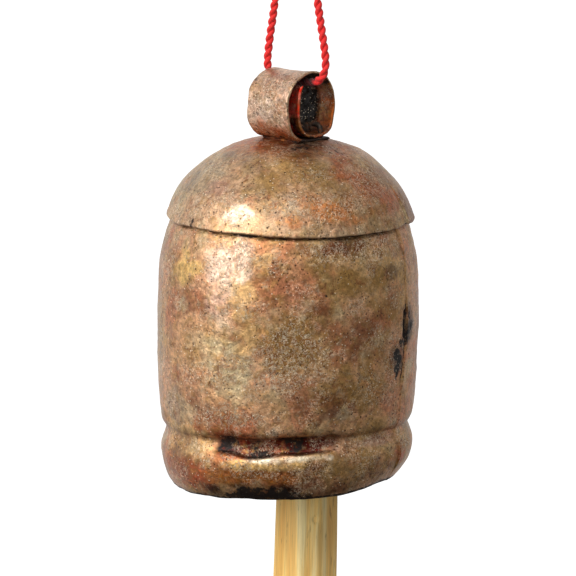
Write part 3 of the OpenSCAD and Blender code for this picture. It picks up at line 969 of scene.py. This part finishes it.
def patina(name):
    """Sheet metal with a fired copper and brass coating: painted tones, mottled, pitted and specked."""
    look = Look(name)
    tone = look.add("ShaderNodeAttribute", attribute_name="tone").outputs["Color"]
    cloud = look.noise(5, 6, 0.68, 0.5, seed=1.0)
    middle = look.noise(3, 5, 0.65, 0.4, seed=2.0)
    small = look.noise(1.3, 5, 0.65, seed=3.0)
    grain = look.noise(0.5, 3, 0.65, seed=4.0)
    colour = look.mix(look.ramp(cloud, (0.52, 0.0), (0.66, 0.45)), tone, COPPER_RED)
    colour = look.mix(look.ramp(middle, (0.50, 0.0), (0.64, 0.6)), colour, OLIVE)
    thin = look.noise(2.4, 6, 0.7, 0.6, seed=5.0)
    colour = look.mix(look.ramp(thin, (0.56, 0.0), (0.66, 0.6)), colour, TAN)
    thin = look.noise(3.6, 6, 0.72, 0.4, seed=6.0)
    colour = look.mix(look.ramp(thin, (0.57, 0.0), (0.64, 0.6)), colour, BROWN)
    colour = look.mix(0.9, colour, look.ramp(small, (0.34, 0.62), (0.5, 1.0), (0.66, 1.38)), "MULTIPLY")
    colour = look.mix(0.9, colour, look.ramp(grain, (0.32, 0.78), (0.5, 1.0), (0.68, 1.22)), "MULTIPLY")

    # cream deposits: thin ragged squiggles in some regions, specks nearly everywhere
    lace = look.value("lace")
    region = look.ramp(look.noise(9, 4, 0.6, seed=9.0), (0.50, 0.0), (0.62, 0.6))
    region = look.math("MAXIMUM", region, lace)
    ridge = look.math("ABSOLUTE", look.math("SUBTRACT", look.noise(1.6, 5, 0.7, 0.9, seed=10.0), 0.5))
    squiggle = look.times(look.ramp(ridge, (0.012, 1.0), (0.042, 0.0)), region)
    squiggle = look.times(squiggle, look.ramp(grain, (0.40, 0.0), (0.48, 1.0)))
    specks = look.ramp(look.cells(1.2, 15.0), (0.13, 1.0), (0.19, 0.0))
    often = look.math("ADD", look.noise(3.4, 4, 0.6, seed=16.0), look.times(lace, 0.12))
    specks = look.times(specks, look.ramp(often, (0.50, 0.0), (0.56, 1.0)))
    pale = look.math("MAXIMUM", squiggle, specks)
    shade = look.ramp(look.noise(1.3, 4, 0.65, seed=18.0), (0.44, 0.55), (0.56, 0.0))
    colour = look.mix(look.times(lace, shade), colour, BROWN)
    colour = look.mix(look.times(pale, 0.85), colour, CREAM)

    # pits: small round holes of two sizes, thick in some regions and rare in others
    coarse = look.ramp(look.cells(2.3, 11.0), (0.09, 1.0), (0.15, 0.0))
    fine = look.ramp(look.cells(1.0, 12.0), (0.15, 1.0), (0.24, 0.0))
    often = look.ramp(look.noise(5, 4, 0.6, seed=13.0), (0.46, 0.0), (0.54, 1.0))
    seldom = look.ramp(look.noise(7, 3, 0.6, seed=14.0), (0.40, 0.0), (0.50, 1.0))
    pits = look.math("MAXIMUM", look.times(coarse, seldom), look.times(fine, often))
    colour = look.mix(look.times(pits, 0.85), colour, PITS_AND_SHADE)

    broken = look.ramp(small, (0.38, 0.3), (0.60, 1.0))
    # soot and painted shade from the mesh, broken up and laid on in black
    soot = look.times(look.value("soot"), look.times(broken, 1.4))
    soot = look.ramp(soot, (0.35, 0.0), (0.75, 0.97))
    glints = look.times(soot, look.ramp(look.cells(0.9, 17.0), (0.16, 0.9), (0.24, 0.0)))
    colour = look.mix(soot, colour, BLACK)
    colour = look.mix(look.times(glints, lace), colour, CREAM)

    rough = look.ramp(small, (0.3, 0.28), (0.7, 0.48))
    rough = look.math("ADD", rough, look.times(soot, 0.15), True)
    metal = look.math("SUBTRACT", 0.85, look.times(soot, 0.6), True)
    normal = look.bump(middle, 0.3)
    normal = look.bump(small, 0.1, normal)
    normal = look.bump(grain, 0.025, normal)
    normal = look.bump(look.math("SUBTRACT", pale, pits), 0.1, normal)
    look.set(Base_Color=colour, Roughness=rough, Metallic=metal, Normal=normal)
    look.set(Coat_Weight=0.12, Coat_Roughness=0.25, Specular_IOR_Level=0.25)
    return look.material


def braze():
    look = Look("braze_metal")
    middle = look.noise(3, 5, 0.65, 0.3, seed=21.0)
    small = look.noise(0.9, 4, 0.6, seed=22.0)
    # the filler's dark browns, kept dark as painted shade of the crevice at the barrel's foot
    colour = look.ramp(middle, (0.36, rgb(34, 16, 8)), (0.52, rgb(92, 44, 20)), (0.68, rgb(168, 104, 52)))
    colour = look.mix(0.6, colour, look.ramp(small, (0.35, 0.4), (0.65, 1.3)), "MULTIPLY")
    normal = look.bump(small, 0.18, look.bump(middle, 0.4))
    rough = look.ramp(small, (0.3, 0.35), (0.7, 0.6))
    look.set(Base_Color=colour, Roughness=rough, Metallic=0.75, Normal=normal)
    return look.material


def wire():
    look = Look("iron_wire")
    small = look.noise(1.4, 5, 0.6, seed=31.0)
    colour = look.ramp(small, (0.38, rgb(52, 46, 42)), (0.56, rgb(84, 72, 62)), (0.68, rgb(122, 72, 44)))
    rough = look.ramp(small, (0.3, 0.4), (0.7, 0.7))
    look.set(Base_Color=colour, Roughness=rough, Metallic=0.8, Normal=look.bump(small, 0.1))
    return look.material


def wood():
    """Whittled pale wood: long grain, soft broad stripes and small dark flecks."""
    look = Look("clapper_wood")
    stripes = look.noise(3.2, 3, 0.5, 0.3, (1, 1, 0.05), seed=41.0)
    grain = look.noise(0.5, 4, 0.6, 0.1, (1, 1, 0.03), seed=42.0)
    broad = look.noise(14, 3, 0.5, 0.4, (1, 1, 0.4), seed=43.0)
    fleck = look.ramp(look.noise(1.1, 3, 0.6, 0.2, (1, 1, 0.12), seed=44.0), (0.62, 0.0), (0.70, 1.0))
    dark, pale, palest = rgb(240, 186, 98), rgb(255, 214, 128), rgb(255, 236, 172)
    colour = look.ramp(stripes, (0.36, dark), (0.5, pale), (0.64, palest))
    colour = look.mix(look.ramp(broad, (0.4, 0.0), (0.65, 0.5)), colour, rgb(226, 174, 100))
    colour = look.mix(0.55, colour, look.ramp(grain, (0.34, 0.62), (0.52, 1.0), (0.68, 1.18)), "MULTIPLY")
    colour = look.mix(look.times(fleck, 0.5), colour, rgb(120, 80, 46))
    normal = look.bump(grain, 0.12, look.bump(stripes, 0.25))
    rough = look.ramp(grain, (0.3, 0.62), (0.7, 0.8))
    look.set(Base_Color=colour, Roughness=rough, Normal=normal)
    return look.material


def fibre():
    """Bright red cord: fine fibres, darker between the plies."""
    look = Look("cord_fibre")
    fine = look.noise(0.28, 3, 0.6, 0.2, (1, 1, 0.5), seed=51.0)
    soft = look.noise(2.4, 3, 0.5, seed=52.0)
    colour = look.ramp(fine, (0.32, rgb(176, 6, 6)), (0.5, rgb(222, 14, 12)), (0.68, rgb(240, 44, 34)))
    colour = look.mix(look.ramp(soft, (0.4, 0.0), (0.7, 0.35)), colour, rgb(196, 8, 10))
    # painted shade, near black, where the cord lies in the barrel
    colour = look.mix(look.times(look.value("grime"), 0.92), colour, rgb(44, 4, 4))
    rough = look.ramp(fine, (0.3, 0.6), (0.7, 0.85))
    look.set(Base_Color=colour, Roughness=rough, Normal=look.bump(fine, 0.1), Sheen_Weight=0.15)
    return look.material


# ---------------------------------------------------------------- light


def make_world():
    """White studio; it lights less from below and from the camera's side, as a dim room there does."""
    world = bpy.data.worlds.new("studio")
    world.use_nodes = True
    world.node_tree.nodes.clear()
    sky = Nodes(world.node_tree)

    def fade(value, *ends):
        inputs = {"Value": value, **dict(zip(("From Min", "From Max", "To Min", "To Max"), ends))}
        return sky.add("ShaderNodeMapRange", inputs, interpolation_type="SMOOTHSTEP").outputs["Result"]

    place = sky.add("ShaderNodeTexCoord").outputs["Generated"]
    dim_side = {0: place, 1: direction(CAMERA_AZIMUTH + 64, 0)}
    turned_to = sky.add("ShaderNodeVectorMath", dim_side, operation="DOT_PRODUCT").outputs["Value"]
    height = sky.add("ShaderNodeSeparateXYZ", {0: place}).outputs["Z"]
    ends = {0: fade(turned_to, -0.6, 0.85, 1.0, 0.5), 1: fade(height, -0.9, -0.2, 0.1, 1)}
    strength = sky.add("ShaderNodeMath", ends, operation="MULTIPLY").outputs[0]
    seen = sky.add("ShaderNodeLightPath").outputs["Is Camera Ray"]
    strength = sky.add("ShaderNodeMix", {"Factor": seen, "A": strength, "B": 1}).outputs["Result"]
    shine = sky.add("ShaderNodeBackground", {"Strength": strength}).outputs["Background"]
    sky.add("ShaderNodeOutputWorld", {"Surface": shine})
    bpy.context.scene.world = world


def make_light(name, azimuth, elevation, distance, width, height, power):
    """A rectangular lamp, its size and distance in metres, that faces the bell."""
    data = bpy.data.lights.new(name, "AREA")
    data.shape = "RECTANGLE"
    data.size, data.size_y, data.energy = width, height, power
    light = bpy.data.objects.new(name, data)
    bpy.context.scene.collection.objects.link(light)
    back = direction(azimuth, elevation)
    light.location = CAMERA_TARGET + back * distance
    light.rotation_euler = (-back).to_track_quat("-Z", "Y").to_euler()
    light.visible_camera = False


def make_floor():
    """A plain pale floor, well below the hanging bell."""
    mesh = bpy.data.meshes.new("floor")
    half, drop = 6, 0.6
    level = cad_box[0].z - drop
    corners = [(-half, -half, level), (half, -half, level), (half, half, level), (-half, half, level)]
    mesh.from_pydata(corners, [], [(0, 1, 2, 3)])
    floor = bpy.data.objects.new("floor", mesh)
    bpy.context.scene.collection.objects.link(floor)
    look = Look("floor_paint")
    look.set(Base_Color=(0.9, 0.9, 0.9, 1), Roughness=0.9)
    look.set(Emission_Color=(1, 1, 1, 1), Emission_Strength=0.55)
    mesh.materials.append(look.material)
    floor.visible_diffuse = floor.visible_glossy = False


make_world()
make_light("key", CAMERA_AZIMUTH - 52, 22, distance=1.1, width=0.55, height=0.9, power=7.8)
make_light("top", CAMERA_AZIMUTH - 8, 48, distance=1.0, width=0.7, height=0.6, power=3.6)
make_floor()

# ---------------------------------------------------------------- assembly

patina_metal = patina("patina_metal")
strap_metal = patina("strap_metal")
braze_metal = braze()
iron_wire = wire()
clapper_wood = wood()
cord_fibre = fibre()


def stand_for(obj, node, body, material):
    """Gives a mesh its material, and puts it on its body in the place of its CAD node."""
    obj.data.materials.append(material)
    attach(obj, body)
    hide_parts(node)
    return obj


cord = stand_for(make_cord(), "hanging_cord", "cord", cord_fibre)
knot = stand_for(make_knot(), "cord_knot", "cord", cord_fibre)
stand_for(make_shell(), "body_shell", "bell", patina_metal)
stand_for(make_cap(), "dome_cap", "bell", patina_metal)
stand_for(make_strap(), "hanging_strap", "bell", strap_metal)
stand_for(make_fillets(), "strap_braze", "bell", braze_metal)
stand_for(make_clapper(), "clapper", "clapper", clapper_wood)

CAD_LOOKS = {"cap_braze": braze_metal, "clapper_staple": iron_wire, "clapper_link": iron_wire}
for node, material in CAD_LOOKS.items():
    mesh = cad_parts[node].data
    mesh.materials.clear()
    mesh.materials.append(material)
